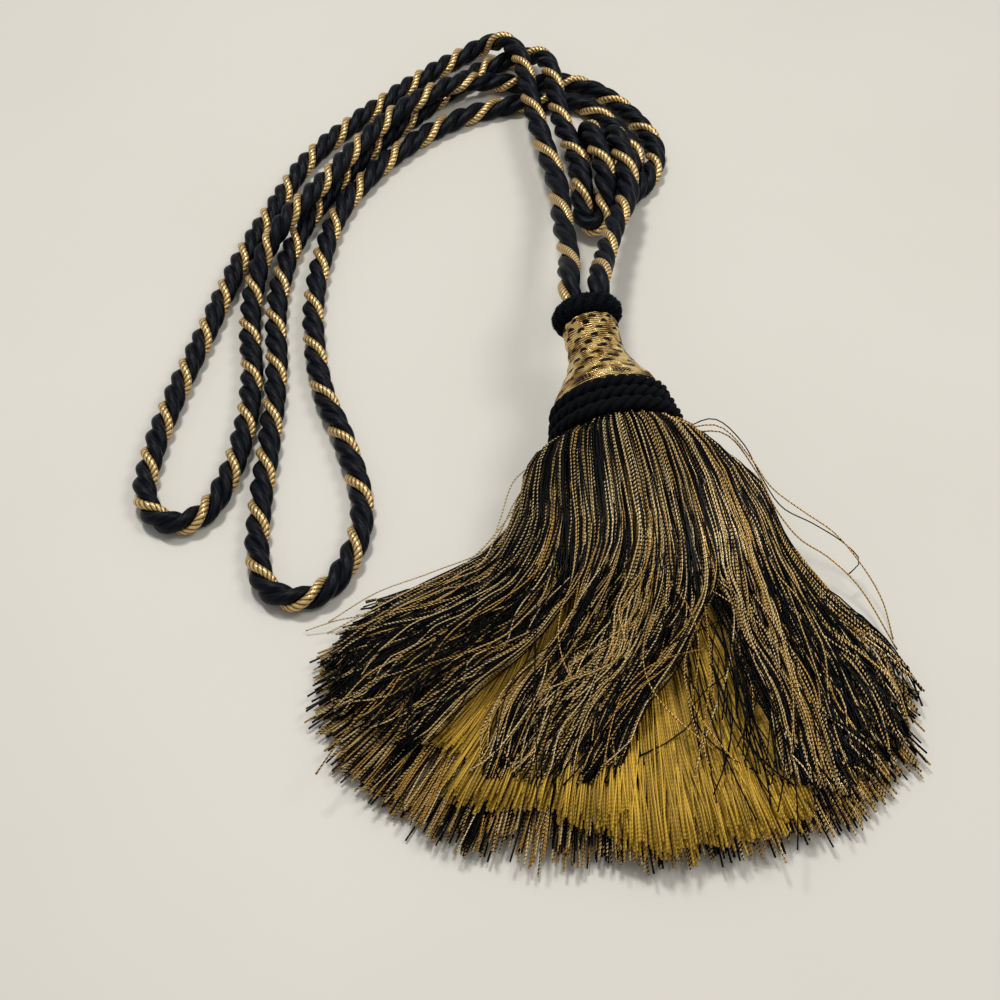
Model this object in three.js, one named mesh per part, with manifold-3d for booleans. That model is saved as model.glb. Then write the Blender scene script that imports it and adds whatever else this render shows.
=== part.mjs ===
// Curtain tieback: a rope with two hanging loops, knotted above a tassel that lies on its side.
// Millimetres. +Z is up, +Y runs from the skirt's hem towards the rope, and +X is to the right.
// The origin is on the surface below the middle of the tassel.
import * as THREE from "three";
import { mergeVertices } from "three/addons/utils/BufferGeometryUtils.js";
import Module from "manifold-3d";

const wasm = await Module();
wasm.setup();

// Rope: three plied strands, laid to the left (an S twist).
const ROPE = {
  radius: 4.95, // out to the crown of a strand
  groove: 3.6, // down to the groove between two strands
  lay: 27.5, // one full turn of a strand
  stepsPerLay: 6,
  lengthSamples: 4000, // for even steps along the route
};

// The tassel's own axis, from the top of its neck to the foot of its collar.
const NECK_TOP = new THREE.Vector3(-6.4, 112.6, 40.6);
const COLLAR_FOOT = new THREE.Vector3(3.6, 58.5, 26.9);
const SKY = new THREE.Vector3(0, 0, 1);
const AXIS = COLLAR_FOOT.clone().sub(NECK_TOP).normalize();
const SIDE = SKY.clone().cross(AXIS).normalize();
const UP = AXIS.clone().cross(SIDE).normalize();
const HEAD_LENGTH = COLLAR_FOOT.distanceTo(NECK_TOP);
const GAP = 0.3; // between pieces that touch

// Wrapped mould: distance from the top of the neck, and radius there.
const MOULD = [
  { along: 0, radius: 9.6 },
  { along: 1.5, radius: 11 },
  { along: 6, radius: 11.6 },
  { along: 13, radius: 11.4 },
  { along: 19, radius: 12.5 },
  { along: 25, radius: 15 },
  { along: 31, radius: 18.8 },
  { along: 36.5, radius: 21.9 },
  { along: 37.9, radius: 22.3 },
];
const MOULD_SIDES = 28;

// Plush ring round the top of the neck, and the core of the neck inside it.
const NECK_RING = { radius: 10.9, tube: 4, along: -4, lumps: 17, lumpDepth: 0.35, sides: 9, around: 34 };
const PLUG = { radius: 6.4, height: 4 };

// Twisted cord wound three times round the foot of the mould, which is stepped to seat it.
const COLLAR_ROWS = [
  { along: HEAD_LENGTH - 14.5, radius: 22.4 },
  { along: HEAD_LENGTH - 8.8, radius: 23.8 },
  { along: HEAD_LENGTH - 3.1, radius: 25.2 },
];
const COLLAR_CORD = { tube: 2.95, lay: 20, strands: 3, groove: 0.5, around: 44, sides: 6 };
const SEAT = { width: 3.1, depth: 3.25 };

// Skirt: locks of yarn hang from flat bindings under the collar and fan out over the surface.
const BINDING = {
  along: HEAD_LENGTH + GAP,
  thickness: 3.6,
  rootDepth: 2.9,
  outer: 26.5,
  split: 13.6, // between the yarns' ring and the cotton's disc inside it
  sides: 40,
};

// Hem of the skirt on the surface, from its left side (share -1) round to its right (share 1).
const HEM = [
  { x: -110, y: -32.5 },
  { x: -105, y: -62.5 },
  { x: -87, y: -93.5 },
  { x: -60, y: -112.5 },
  { x: -28, y: -123 },
  { x: 4, y: -123.8 },
  { x: 34, y: -121 },
  { x: 60, y: -109.5 },
  { x: 84, y: -92.5 },
  { x: 103, y: -68.5 },
  { x: 112, y: -40.5 },
];
const STAGES = [0, 0.12, 0.34, 0.64, 1]; // shares of a lock's way from its root
// How far a lock swings off the straight way to its end: in on the left, out on the right.
const SWING = { left: -0.14, leftPower: 1.6, right: 0.08, rightPower: 0.5 };
const FALL = { top: 1.15, underside: 3 }; // how soon a lock comes down, 1 being only at the hem
const ARCH = { rise: 4, reach: 0.4 }; // rise of the top locks just past the collar
const UNEVEN = { share: 0.012, waves: 37 }; // raggedness of the hem

// Rows of locks: their layer, counted from the surface up, where they are rooted (share of the
// binding's radius, and degrees round it, 0 being its top), how much of the hem they spread over,
// how far they reach, and their widths at the root and at the end.
const YARN_ROWS = [
  { layer: 0, share: 0.95, count: 25, from: 256, to: 98, spread: 0.97, reach: 1, widths: [1.5, 5] },
  { layer: 1, share: 0.8, count: 18, from: 238, to: 122, spread: 0.72, reach: 0.98, widths: [1.5, 5] },
  { layer: 4, share: 0.69, count: 23, from: -80, to: 80, spread: 0.89, reach: 0.97, widths: [1.5, 5.5] },
  { layer: 5, share: 0.82, count: 27, from: -83, to: 83, spread: 0.95, reach: 0.985, widths: [1.5, 5.5] },
  { layer: 6, share: 0.95, count: 31, from: -86, to: 86, spread: 1, reach: 1, widths: [1.6, 5] },
];
const COTTON_ROWS = [
  { layer: 2, share: 0.3, count: 10, from: -78, to: 78, spread: 0.78, reach: 0.93, widths: [1.2, 8] },
  { layer: 3, share: 0.43, count: 15, from: -82, to: 82, spread: 0.84, reach: 0.95, widths: [1.2, 7] },
];
// Where the upper yarns are parted and end early, so that the cotton shows.
const PARTINGS = [
  { middle: -0.4, halfWidth: 0.12, keeps: 0.72 },
  { middle: 0.34, halfWidth: 0.26, keeps: 0.68 },
];
const LOWEST_PARTED_LAYER = 4;
const LOCK = { height: 1.3, widening: 1.6 };
const LAYER = { height: 2.3, fadeWidth: 0.09 }; // a layer's lift fades out just past its side

// The rope's route over the surface and through the knot: x, y, and height of its centre.
const ROUTE = [
  // left leg, up from the tassel and over the other ropes
  [-13.4, 120.6, 42.8],
  [-14.4, 135.8, 44.5],
  [-12.9, 161.8, 33],
  [-14.6, 200.8, 24],
  [-16.1, 238, 17.5],
  [-22, 272.5, 15.8],
  [-27.5, 306.5, 15.8],
  [-31, 336.5, 15.8],
  [-34.5, 353.5, 15.8],
  [-42.5, 367, 14],
  [-54, 372, 7.2],
  // outer run, down to the left loop
  [-77, 354.5, 5.2],
  [-100, 329.5, 5.2],
  [-140, 276.5, 5.2],
  [-156, 233.5, 5.2],
  [-168.5, 191.5, 5.2],
  [-178.5, 143.5, 5.2],
  [-187, 102, 5.2],
  [-191.5, 66.5, 5.2],
  [-190.5, 46.5, 5.2],
  [-184.5, 36.5, 5.2],
  [-174.5, 32.5, 5.2],
  [-165, 38.5, 5.2],
  [-158, 55.5, 5.2],
  // back up the left loop, riding on the run beside it
  [-154, 82.5, 5.2],
  [-154, 114.5, 5.3],
  [-159, 154.5, 5.6],
  [-157, 191.5, 9],
  [-147, 212.5, 15.2],
  [-132.5, 238.5, 15.7],
  [-118, 266.5, 15.7],
  [-101.5, 293.5, 15.7],
  [-83, 313.5, 15.8],
  [-65, 328.5, 13.5],
  [-48, 339, 6.5],
  // under both legs and round the right of the knot
  [-28, 339.5, 5.2],
  [-7, 340.5, 5.2],
  [10.5, 330, 5.2],
  [28, 305, 5.2],
  [36, 280.5, 5.2],
  [31.5, 258.5, 5.2],
  [19.5, 243, 5.2],
  [6, 238, 5.2],
  [-2.5, 245.5, 5.2],
  [-4, 260.5, 5.2],
  // first wrap of the knot, up, over and down
  [-2, 273.5, 5.4],
  [-1, 279.5, 7.7],
  [0, 282, 13.2],
  [1, 279.5, 19],
  [2, 273, 21.6],
  [5.5, 257.5, 21.3],
  [7.8, 239.5, 18.5],
  [7.8, 225.5, 12.6],
  [6, 218.5, 9.4],
  [2, 216.3, 8.4],
  [-2, 218.5, 9],
  [-4, 226.5, 11.6],
  // back up to the second leg and over the ropes below
  [-3.5, 241.5, 15.8],
  [-7, 266.5, 15.6],
  [-12.5, 291.5, 15.6],
  [-15, 318.5, 15.6],
  [-18, 342.5, 15.6],
  [-24, 358.5, 10.5],
  [-35.5, 362, 5.7],
  [-50, 356.5, 5.2],
  // inner run, down to the right loop
  [-68.5, 336.5, 5.2],
  [-87.5, 312, 5.2],
  [-108.5, 284.5, 5.2],
  [-125.5, 254.5, 5.2],
  [-139, 222.5, 5.2],
  [-146, 193.5, 5.2],
  [-147.5, 159.5, 5.2],
  [-143.5, 119.5, 5.2],
  [-142.5, 78.5, 5.2],
  [-142.5, 36.5, 5.2],
  [-140, 11.5, 5.2],
  [-134.5, -0.5, 5.2],
  [-123.5, -5.5, 5.2],
  [-112, 0, 5.2],
  [-104, 14.5, 5.2],
  [-100.5, 40, 5.2],
  // back up the right loop, innermost of the four
  [-110, 76.5, 5.2],
  [-122.5, 109.5, 5.2],
  [-130, 153, 5.2],
  [-130, 187.5, 5.2],
  [-123.5, 229.5, 5.2],
  [-110, 259.5, 5.2],
  [-91.5, 285, 5.2],
  [-68, 306.5, 5.2],
  [-41, 319.5, 5.2],
  // under both legs and round inside the knot
  [-20, 322.5, 5.2],
  [-1, 320.5, 5.2],
  [14.5, 301.5, 5.2],
  [24.5, 280.5, 5.2],
  [24, 267.5, 5.2],
  [22, 262.5, 5.2],
  [18, 260.5, 5.2],
  [14, 262.5, 5.2],
  [12.4, 268.5, 5.4],
  // second wrap of the knot, and down the right leg to the tassel
  [13, 275, 8],
  [13.5, 277.5, 13.4],
  [14, 275, 19],
  [14.8, 268.5, 21.6],
  [17.8, 250.5, 21],
  [18.4, 229.5, 18.6],
  [10, 198.1, 24],
  [2.4, 160.9, 33],
  [-1.1, 136.8, 44.5],
  [-2.8, 122.7, 42.8],
].map((p) => new THREE.Vector3(...p));

// A point at a distance along the tassel's axis, and off it sideways and upwards.
function onAxis(along, across = 0, up = 0) {
  const point = NECK_TOP.clone().addScaledVector(AXIS, along);
  return point.addScaledVector(SIDE, across).addScaledVector(UP, up);
}

// Turns a shape made about +Y, with +Z up, so that it lies on the tassel's axis.
function layOnAxis(geometry, along) {
  const turn = new THREE.Matrix4().makeBasis(SIDE.clone().negate(), AXIS, UP);
  turn.setPosition(onAxis(along));
  return geometry.applyMatrix4(turn);
}

// Moves each point of a geometry to where the function puts it.
function reshape(geometry, place) {
  const position = geometry.attributes.position;
  const point = new THREE.Vector3();
  for (let i = 0; i < position.count; i += 1) {
    point.fromBufferAttribute(position, i);
    place(point);
    position.setXYZ(i, point.x, point.y, point.z);
  }
  return geometry;
}

function toSolid(geometry) {
  const bare = geometry.clone();
  bare.deleteAttribute("normal");
  bare.deleteAttribute("uv");
  const merged = mergeVertices(bare, 1e-4);
  return new wasm.Manifold(
    new wasm.Mesh({
      numProp: 3,
      vertProperties: merged.attributes.position.array,
      triVerts: new Uint32Array(merged.index.array),
    }),
  );
}

function toGeometry(solid) {
  const mesh = solid.getMesh();
  const geometry = new THREE.BufferGeometry();
  geometry.setAttribute("position", new THREE.BufferAttribute(mesh.vertProperties, 3));
  geometry.setIndex(new THREE.BufferAttribute(mesh.triVerts, 1));
  geometry.computeVertexNormals();
  return geometry;
}

// Frames along a curve that don't spin about it, starting from the world's up.
function steadyFrames(curve, steps) {
  const frames = [];
  const up = new THREE.Vector3(0, 0, 1);
  for (let i = 0; i <= steps; i += 1) {
    const point = curve.getPointAt(i / steps);
    const tangent = curve.getTangentAt(i / steps);
    up.addScaledVector(tangent, -up.dot(tangent)).normalize();
    frames.push({ point, up: up.clone(), side: up.clone().cross(tangent).normalize() });
  }
  return frames;
}

// Section of the rope: the crowns of three strands, and the grooves between them.
function ropeSection() {
  const corners = Array.from({ length: 6 }, (_, i) => {
    const radius = i % 2 ? ROPE.groove : ROPE.radius;
    return new THREE.Vector2(radius, 0).rotateAround(new THREE.Vector2(), (i * Math.PI) / 3);
  });
  return new THREE.Shape(corners);
}

// A straight extrusion of the section, wound along the route with the strands' twist.
function makeRope() {
  const curve = new THREE.CatmullRomCurve3(ROUTE, false, "centripetal");
  curve.arcLengthDivisions = ROPE.lengthSamples;
  const length = curve.getLength();
  const steps = Math.round((length / ROPE.lay) * ROPE.stepsPerLay);
  const frames = steadyFrames(curve, steps);
  const straight = new THREE.ExtrudeGeometry(ropeSection(), { depth: length, steps, bevelEnabled: false });
  return reshape(straight, (p) => {
    const frame = frames[Math.round((p.z / length) * steps)];
    const angle = Math.atan2(p.y, p.x) - (2 * Math.PI * p.z) / ROPE.lay;
    const radius = Math.hypot(p.x, p.y);
    p.copy(frame.point);
    p.addScaledVector(frame.side, radius * Math.cos(angle));
    p.addScaledVector(frame.up, radius * Math.sin(angle));
  });
}

function makeMould() {
  const profile = [new THREE.Vector2(0, 0)];
  MOULD.forEach((m) => profile.push(new THREE.Vector2(m.radius, m.along)));
  COLLAR_ROWS.forEach((row) => {
    profile.push(new THREE.Vector2(row.radius - SEAT.depth, row.along - SEAT.width));
    profile.push(new THREE.Vector2(row.radius - SEAT.depth, row.along + SEAT.width));
  });
  profile.push(new THREE.Vector2(0, HEAD_LENGTH));
  const bell = toSolid(layOnAxis(new THREE.LatheGeometry(profile, MOULD_SIDES), 0));
  const plug = new THREE.CylinderGeometry(PLUG.radius, PLUG.radius, PLUG.height + 1, MOULD_SIDES);
  return toGeometry(bell.add(toSolid(layOnAxis(plug, (1 - PLUG.height) / 2))));
}

// Ring of soft pile: a torus with low lumps.
function makeNeckRing() {
  const ring = new THREE.TorusGeometry(NECK_RING.radius, NECK_RING.tube, NECK_RING.sides, NECK_RING.around);
  reshape(ring, (p) => {
    const angle = Math.atan2(p.y, p.x);
    const out = Math.hypot(p.x, p.y) - NECK_RING.radius;
    const dip = 0.5 + 0.5 * Math.cos(NECK_RING.lumps * angle);
    const lump = 1 - (NECK_RING.lumpDepth / NECK_RING.tube) * dip;
    const radius = NECK_RING.radius + out * lump;
    p.set(radius * Math.cos(angle), radius * Math.sin(angle), p.z * lump);
  });
  return layOnAxis(ring.rotateX(-Math.PI / 2), NECK_RING.along);
}

// One turn of twisted cord: a torus whose section has the grooves between its strands.
function makeCollarRow(row) {
  const ring = new THREE.TorusGeometry(row.radius, COLLAR_CORD.tube, COLLAR_CORD.sides, COLLAR_CORD.around);
  const turns = Math.round((2 * Math.PI * row.radius) / COLLAR_CORD.lay);
  reshape(ring, (p) => {
    const angle = Math.atan2(p.y, p.x);
    const out = Math.hypot(p.x, p.y) - row.radius;
    const around = Math.atan2(p.z, out);
    const groove = 0.5 + 0.5 * Math.cos(COLLAR_CORD.strands * (around + turns * angle));
    const shrink = 1 - (COLLAR_CORD.groove / COLLAR_CORD.tube) * groove;
    const radius = row.radius + out * shrink;
    p.set(radius * Math.cos(angle), radius * Math.sin(angle), p.z * shrink);
  });
  return layOnAxis(ring.rotateX(-Math.PI / 2), row.along);
}

const hemCurve = new THREE.CatmullRomCurve3(HEM.map((p) => new THREE.Vector3(p.x, p.y, 0)));
const ALL_ROWS = [...YARN_ROWS, ...COTTON_ROWS];

// Height of a layer at the hem: it lies on those layers below it that spread as far.
function hemHeight(row, place) {
  const below = ALL_ROWS.filter((other) => other.layer < row.layer);
  const lifts = below.map((other) => {
    const outside = Math.abs(place) - other.spread;
    return 1 - THREE.MathUtils.smoothstep(outside, 0, LAYER.fadeWidth);
  });
  return LOCK.height / 2 + LAYER.height * lifts.reduce((sum, lift) => sum + lift, 0);
}

// Points of one lock. Its place in the row runs from -1 on the left to 1 on the right.
function lockPoints(row, place) {
  const round = THREE.MathUtils.degToRad(THREE.MathUtils.mapLinear(place, -1, 1, row.from, row.to));
  const out = row.share * BINDING.outer;
  const root = onAxis(BINDING.along + BINDING.rootDepth, out * Math.sin(round), out * Math.cos(round));
  const end = hemCurve.getPointAt((1 + place * row.spread) / 2);
  end.z = hemHeight(row, place * row.spread);
  const level = row.share * Math.cos(round);
  const fallRate = THREE.MathUtils.mapLinear(level, 1, -1, FALL.top, FALL.underside);
  const reach = reachOf(row, place);
  const rightness = (1 + Math.sin(round) * row.share) / 2;
  return STAGES.map((stage) => {
    const t = stage * reach;
    const swingLeft = SWING.left * Math.sin(Math.PI * t ** SWING.leftPower);
    const swingRight = SWING.right * Math.sin(Math.PI * t ** SWING.rightPower);
    const across = t + THREE.MathUtils.lerp(swingLeft, swingRight, rightness);
    const fall = THREE.MathUtils.smoothstep(Math.min(1, t * fallRate), 0, 1);
    const arch = ARCH.rise * Math.max(0, level) * Math.sin(Math.PI * Math.min(1, t / ARCH.reach));
    const x = THREE.MathUtils.lerp(root.x, end.x, across);
    const y = THREE.MathUtils.lerp(root.y, end.y, t);
    return new THREE.Vector3(x, y, THREE.MathUtils.lerp(root.z, end.z, fall) + arch);
  });
}

// How far a lock reaches: the parted ones end early.
function reachOf(row, place) {
  const at = place * row.spread;
  const parting = PARTINGS.find((part) => Math.abs(at - part.middle) < part.halfWidth);
  const uneven = UNEVEN.share * (Math.sin(UNEVEN.waves * at + row.layer) - 1);
  const kept = row.layer >= LOWEST_PARTED_LAYER && parting ? parting.keeps : 1;
  return row.reach * kept + uneven;
}

// One lock: a three-sided bar, flat side down, that widens from its root to its end.
function makeLock(row, place) {
  const corners = [
    [-0.5, -0.5],
    [0.5, -0.5],
    [0, 0.5],
  ].map((c) => new THREE.Vector2(...c));
  const steps = STAGES.length - 1;
  const sweep = { depth: steps, steps, bevelEnabled: false };
  const bar = new THREE.ExtrudeGeometry(new THREE.Shape(corners), sweep);
  const points = lockPoints(row, place);
  return reshape(bar, (p) => {
    const step = Math.round(p.z);
    const from = step === 0 ? points[0].clone().sub(AXIS) : points[step - 1];
    const along = points[Math.min(step + 1, steps)].clone().sub(from);
    const side = SKY.clone().cross(along).normalize();
    const width = THREE.MathUtils.lerp(...row.widths, STAGES[step] ** LOCK.widening);
    const across = p.x * width;
    const lift = p.y * LOCK.height;
    p.copy(points[step]).addScaledVector(side, across).addScaledVector(SKY, lift);
  });
}

function locksOf(rows) {
  return rows.flatMap((row) =>
    Array.from({ length: row.count }, (_, i) => makeLock(row, (2 * i + 1) / row.count - 1)),
  );
}

// Flat binding that the roots are fused into: a disc, or a ring round the inner one.
function makeBinding(inner, outer) {
  const middle = BINDING.along + BINDING.thickness / 2;
  const disc = new THREE.CylinderGeometry(outer, outer, BINDING.thickness, BINDING.sides);
  const solid = toSolid(layOnAxis(disc, middle));
  if (!inner) return solid;
  const hole = new THREE.CylinderGeometry(inner, inner, 2 * BINDING.thickness, BINDING.sides);
  return solid.subtract(toSolid(layOnAxis(hole, middle)));
}

function makeSkirt(rows, inner, outer) {
  const locks = locksOf(rows).map(toSolid);
  return toGeometry(wasm.Manifold.union([makeBinding(inner, outer), ...locks]));
}

function add(group, name, geometry, look) {
  const mesh = new THREE.Mesh(geometry, new THREE.MeshStandardMaterial(look));
  mesh.name = name;
  group.add(mesh);
}

const BLACK_CORD = { color: "#14161c", roughness: 0.55, metalness: 0 };
const BLACK_PILE = { color: "#0c0e13", roughness: 0.95, metalness: 0 };
const GOLD_THREAD = { color: "#b08b4a", roughness: 0.35, metalness: 0.3 };
const YARN = { color: "#4a3d26", roughness: 0.6, metalness: 0 };
const MUSTARD_COTTON = { color: "#a5812a", roughness: 0.9, metalness: 0 };

const tieback = new THREE.Group();
add(tieback, "rope", makeRope(), BLACK_CORD);
add(tieback, "tassel_head", makeMould(), GOLD_THREAD);
add(tieback, "neck_ring", makeNeckRing(), BLACK_PILE);
COLLAR_ROWS.forEach((row, i) => add(tieback, `collar_row_${i + 1}`, makeCollarRow(row), BLACK_CORD));
add(tieback, "skirt_yarns", makeSkirt(YARN_ROWS, BINDING.split, BINDING.outer), YARN);
add(tieback, "skirt_cotton_core", makeSkirt(COTTON_ROWS, 0, BINDING.split - GAP), MUSTARD_COTTON);

export default tieback;
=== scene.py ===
import math

import bmesh
import bpy
import numpy as np
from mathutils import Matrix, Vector


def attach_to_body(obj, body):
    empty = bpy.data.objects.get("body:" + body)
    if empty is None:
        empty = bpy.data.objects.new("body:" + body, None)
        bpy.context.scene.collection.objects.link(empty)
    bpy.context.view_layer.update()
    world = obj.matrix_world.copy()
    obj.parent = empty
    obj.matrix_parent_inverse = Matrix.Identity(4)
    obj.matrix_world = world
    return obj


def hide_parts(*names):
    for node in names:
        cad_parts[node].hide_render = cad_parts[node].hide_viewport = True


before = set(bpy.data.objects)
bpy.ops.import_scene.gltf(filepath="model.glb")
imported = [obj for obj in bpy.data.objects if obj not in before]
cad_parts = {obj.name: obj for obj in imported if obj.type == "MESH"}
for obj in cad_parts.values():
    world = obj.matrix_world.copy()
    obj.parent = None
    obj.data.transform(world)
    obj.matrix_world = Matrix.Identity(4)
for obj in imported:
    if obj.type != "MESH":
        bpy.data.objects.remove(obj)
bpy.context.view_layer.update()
mm = 0.001
fullTurn = 2 * math.pi


def placeObject(name, data):
    obj = bpy.data.objects.new(name, data)
    bpy.context.collection.objects.link(obj)
    return obj


camera = {
    "place": (-0.044, -0.3365, 0.4616),
    "tilt": 39.9,  # degrees up from straight down
    "lens": 51.98,
    "sensor": 36,
}


def makeCamera():
    data = bpy.data.cameras.new("Camera")
    data.lens = camera["lens"]
    data.sensor_width = camera["sensor"]
    obj = placeObject("Camera", data)
    obj.location = camera["place"]
    obj.rotation_euler = (math.radians(camera["tilt"]), 0, 0)
    bpy.context.scene.camera = obj


makeCamera()
print("camera made")


def unit(v):
    return v / np.maximum(np.linalg.norm(v, axis=-1, keepdims=True), 1e-12)


def smoothstep(low, high, x):
    t = np.clip((x - low) / (high - low), 0, 1)
    return t * t * (3 - 2 * t)


def evenly(points, step):  # points at even steps along a fine polyline, and its length
    lengths = np.linalg.norm(np.diff(points, axis=0), axis=1)
    at = np.concatenate([[0], np.cumsum(lengths)])
    wanted = np.linspace(0, at[-1], int(round(at[-1] / step)) + 1)
    return np.stack([np.interp(wanted, at, column) for column in points.T], axis=1), at[-1]


def smoothCurve(points, perStretch=12):  # centripetal Catmull-Rom curve through the points
    points = np.asarray(points, float)
    p = np.vstack([2 * points[0] - points[1], points, 2 * points[-1] - points[-2]])
    gaps = np.sqrt(np.linalg.norm(np.diff(p, axis=0), axis=1))
    s = np.arange(perStretch)[:, None] / perStretch
    out = []
    for i in range(1, len(p) - 2):
        before, here, after = gaps[i - 1 : i + 2]
        step = (p[i + 1] - p[i]) / here
        slopeIn = ((p[i] - p[i - 1]) / before - (p[i + 1] - p[i - 1]) / (before + here) + step) * here
        slopeOut = (step - (p[i + 2] - p[i]) / (here + after) + (p[i + 2] - p[i + 1]) / after) * here
        square = -3 * p[i] + 3 * p[i + 1] - 2 * slopeIn - slopeOut
        cube = 2 * p[i] - 2 * p[i + 1] + slopeIn + slopeOut
        out.append(p[i] + slopeIn * s + square * s**2 + cube * s**3)
    return np.vstack(out + [points[-1:]])


def steadyFrames(points, closed=False):  # sideways and upward directions that don't spin about the line
    tangents = unit(np.gradient(points, axis=0))
    if closed:
        tangents = unit(np.roll(points, -1, axis=0) - np.roll(points, 1, axis=0))
    ups = np.zeros_like(points)
    up = np.array([0.0, 0.0, 1.0])
    for i, tangent in enumerate(tangents):
        up = up - tangent * up.dot(tangent)
        up /= np.linalg.norm(up)
        ups[i] = up
    return np.cross(ups, tangents), ups


# An object from vertices, four-sided faces and a UV for each corner of each face.
def meshObject(name, verts, quads, uvs, materials, slots=None, tones=None):
    mesh = bpy.data.meshes.new(name)
    mesh.from_pydata(verts.tolist(), [], quads.tolist())
    layer = mesh.uv_layers.new(name="UVMap")
    layer.data.foreach_set("uv", uvs.reshape(-1).astype(np.float32))
    if tones is not None:
        attribute = mesh.attributes.new("tone", "FLOAT", "POINT")
        attribute.data.foreach_set("value", tones.astype(np.float32))
    for material in materials:
        mesh.materials.append(material)
    if slots is not None:
        mesh.polygons.foreach_set("material_index", slots.astype(np.int32))
    mesh.polygons.foreach_set("use_smooth", np.ones(len(quads), bool))
    mesh.update()
    return placeObject(name, mesh)


def closeEnds(obj):
    mesh = bmesh.new()
    mesh.from_mesh(obj.data)
    edges = [e for e in mesh.edges if e.is_boundary]
    bmesh.ops.holes_fill(mesh, edges=edges, sides=0)
    mesh.to_mesh(obj.data)
    mesh.free()


def attach(obj, node):  # it rides on the one body and stands for a node
    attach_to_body(obj, "root")
    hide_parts(node)


def linear(hexColor):  # sRGB hex to linear RGBA
    values = [int(hexColor[i : i + 2], 16) / 255 for i in (1, 3, 5)]
    return [v / 12.92 if v <= 0.04045 else ((v + 0.055) / 1.055) ** 2.4 for v in values] + [1]


# A node with its settings and its inputs, each linked or set, gives one of its outputs. A kind in
# capitals is the operation of a maths node.
def addNode(tree, kind, inputs=(), output=0, **settings):
    node = tree.nodes.new("ShaderNodeMath" if kind.isupper() else "ShaderNode" + kind)
    if kind.isupper():
        node.operation = kind
    for name, value in settings.items():
        setattr(node, name, value)
    for name, value in inputs.items() if isinstance(inputs, dict) else enumerate(inputs):
        if isinstance(value, bpy.types.NodeSocket):
            tree.links.new(value, node.inputs[name])
        else:
            node.inputs[name].default_value = value
    return node.outputs[output]


def setStops(ramp, stops):  # places and colours on a colour ramp, which starts with two
    ends = (stops[0], stops[-1])
    for element, (place, color) in zip(ramp.elements, ends):
        element.position = place
        element.color = color
    for place, color in stops[1:-1]:
        ramp.elements.new(place).color = color


def makeMaterial(name, finish):  # the finish is what is the same all over
    material = bpy.data.materials.new(name)
    material.use_nodes = True
    tree = material.node_tree
    shader = tree.nodes["Principled BSDF"]
    for socket, value in finish.items():
        shader.inputs[socket].default_value = value
    return material, tree, shader


def drive(tree, shader, links):
    for name, socket in links.items():
        tree.links.new(socket, shader.inputs[name])


def uvParts(tree):  # the UV map, the way around a strand from 0 to 1, and the way along it in metres
    coords = addNode(tree, "UVMap", uv_map="UVMap")
    parts = addNode(tree, "SeparateXYZ", [coords]).node.outputs
    return coords, parts[0], parts[1]


def wave(tree, phase):  # 0 to 1 and back for each whole step of the phase
    angle = addNode(tree, "MULTIPLY", [phase, fullTurn])
    sine = addNode(tree, "SINE", [angle])
    return addNode(tree, "MULTIPLY_ADD", [sine, 0.5, 0.5])


def twist(tree, around, along, pitch, slant):  # ridges at a pitch along, and so many slanting ones around
    slanted = addNode(tree, "MULTIPLY", [around, slant])
    return addNode(tree, "MULTIPLY_ADD", [along, 1 / pitch, slanted])


def mottle(tree, coords, cells, detail=2.0):  # uneven, with so many cells around and to a metre along
    mapped = addNode(tree, "Mapping", {"Vector": coords, "Scale": (*cells, 1)})
    return addNode(tree, "TexNoise", {"Vector": mapped, "Scale": 1.0, "Detail": detail})


rope = {
    "diameter": 10 * mm,
    # millimetres along the rope, and the length there of one turn of a strand, laid to the left
    "lays": [
        (0, 48), (130, 50), (170, 40), (215, 38), (250, 29), (500, 27), (760, 27), (860, 27), (1040, 30),
        (1180, 27), (1240, 34), (1330, 30), (1400, 33), (1520, 29), (2000, 29), (2300, 32), (2420, 34),
        (2579, 36),
    ],
    "turn": 0.2,  # turns by which the gold strand starts round the rope
    "step": 1.25 * mm,
    "blackRadius": 2.95 * mm,
    "blackOut": 2.2 * mm,
    "goldRadius": 2.15 * mm,
    "goldOut": 2.95 * mm,
    "knot": (6, 250),  # where the rope is slack and swells
    "knotSize": 45,
    "knotSwell": 0.1,
    "satinFinish": {"Roughness": 0.45, "Specular IOR Level": 0.1},
    # painted shade between the yarns, to painted gleam on them
    "satinShadeToGleam": ("#030407", "#0a0e16"),
    "satinFibres": (60, 400),
    "satinBump": 0.2 * mm,
    "yarnsInStrand": 6,
    "yarnTwist": 60 * mm,
    "gimpFinish": {"Roughness": 0.32, "Metallic": 0.55},
    # painted shade between the ridges, to painted glint on them
    "gimpShadeToGlint": ("#4a2f10", "#dcb878"),
    "gimpFibres": (40, 2500),
    "gimpBump": 0.22 * mm,
    "gimpTwist": 1.5 * mm,
    "gimpSlant": -6.5,
}
strand = {
    "arc": 122,  # degrees each way that a strand's outside shows, and the points on it
    "points": 11,
    "margin": 0.17,  # of the way around that is hidden at each side
}

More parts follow.
